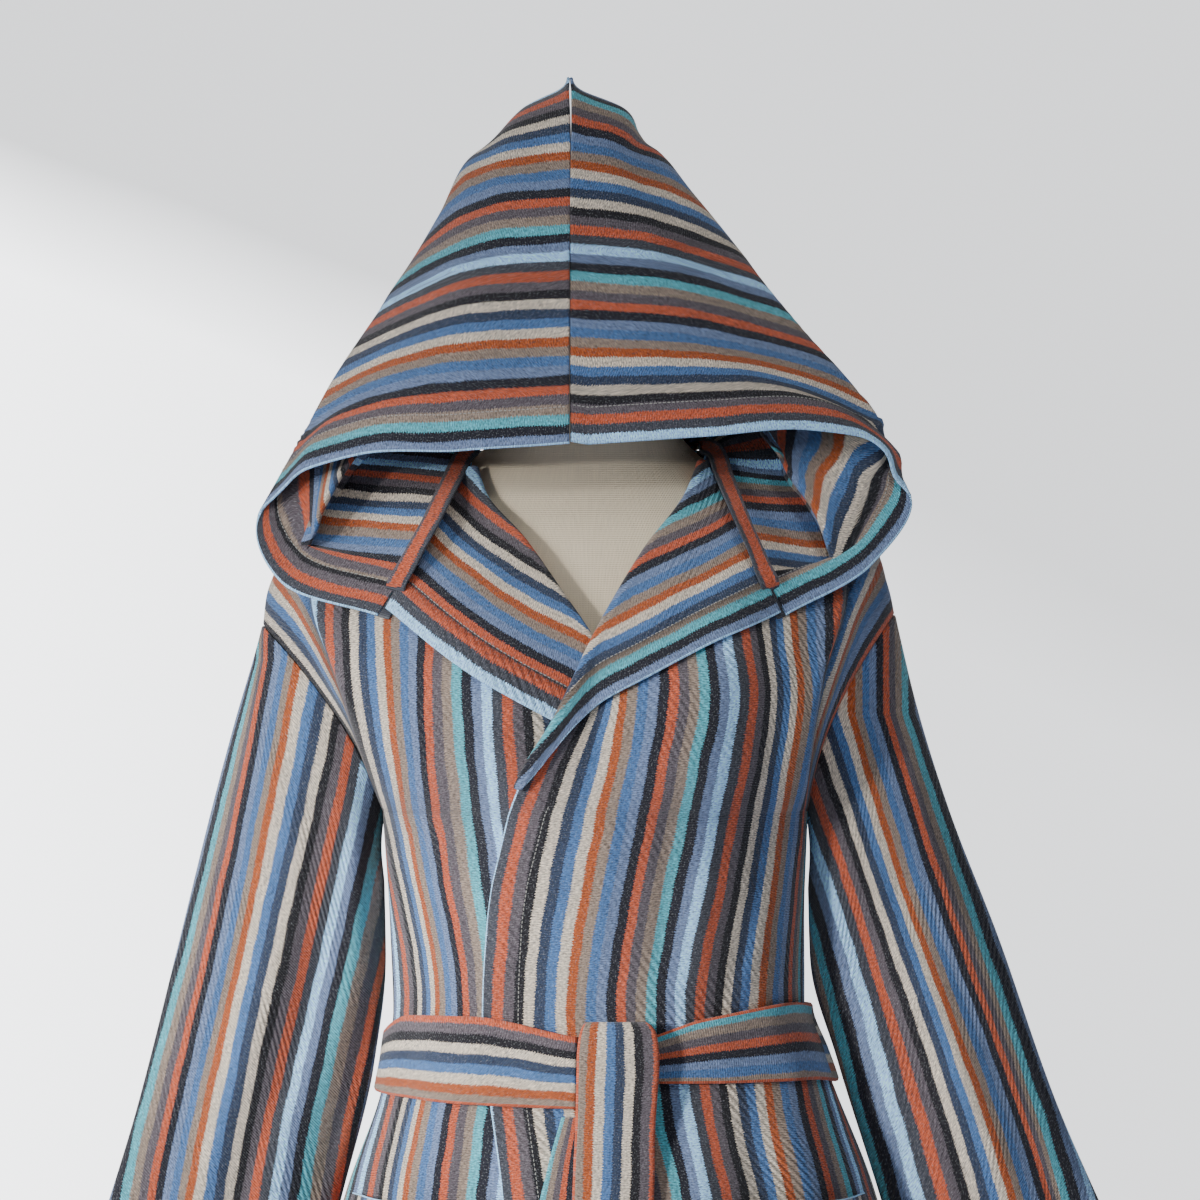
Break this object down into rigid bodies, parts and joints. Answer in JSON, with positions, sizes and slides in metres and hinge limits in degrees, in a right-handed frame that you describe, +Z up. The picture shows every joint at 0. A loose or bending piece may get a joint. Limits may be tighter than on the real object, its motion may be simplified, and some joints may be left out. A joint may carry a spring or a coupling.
{
  "type": "hooded bathrobe on a dress form",
  "caption": "Striped towelling bathrobe with a pointed hood, wide drop sleeves, fold-back lapels, tied belt and patch pockets, worn by a limbless linen dress form on a stand.",
  "frame": {"origin": "centre of the stand's underside, on the floor", "axes": "+Z up, the robe's front faces -Y, +X is on the viewer's right"},
  "size_m": [0.7722, 0.4, 1.786],
  "materials": {
    "towelling": "striped heathered cotton towelling",
    "tape": "striped cotton, coral middle and grey-blue edges",
    "linen": "natural linen cover",
    "pole": "satin steel tube",
    "base": "oiled wood"
  },
  "bodies": {
    "root": {"front_under": "towelling", "front_over": "towelling", "back": "towelling", "sleeve_left": "towelling", "sleeve_right": "towelling", "hood_left": "towelling", "hood_right": "towelling", "belt_band": "towelling", "belt_tail_over": "towelling", "belt_tail_under": "towelling", "pocket_left": "towelling", "pocket_right": "towelling", "neck_tape": "tape", "form_torso": "linen", "form_pole": "pole", "form_base": "base"}
  },
  "joints": []
}
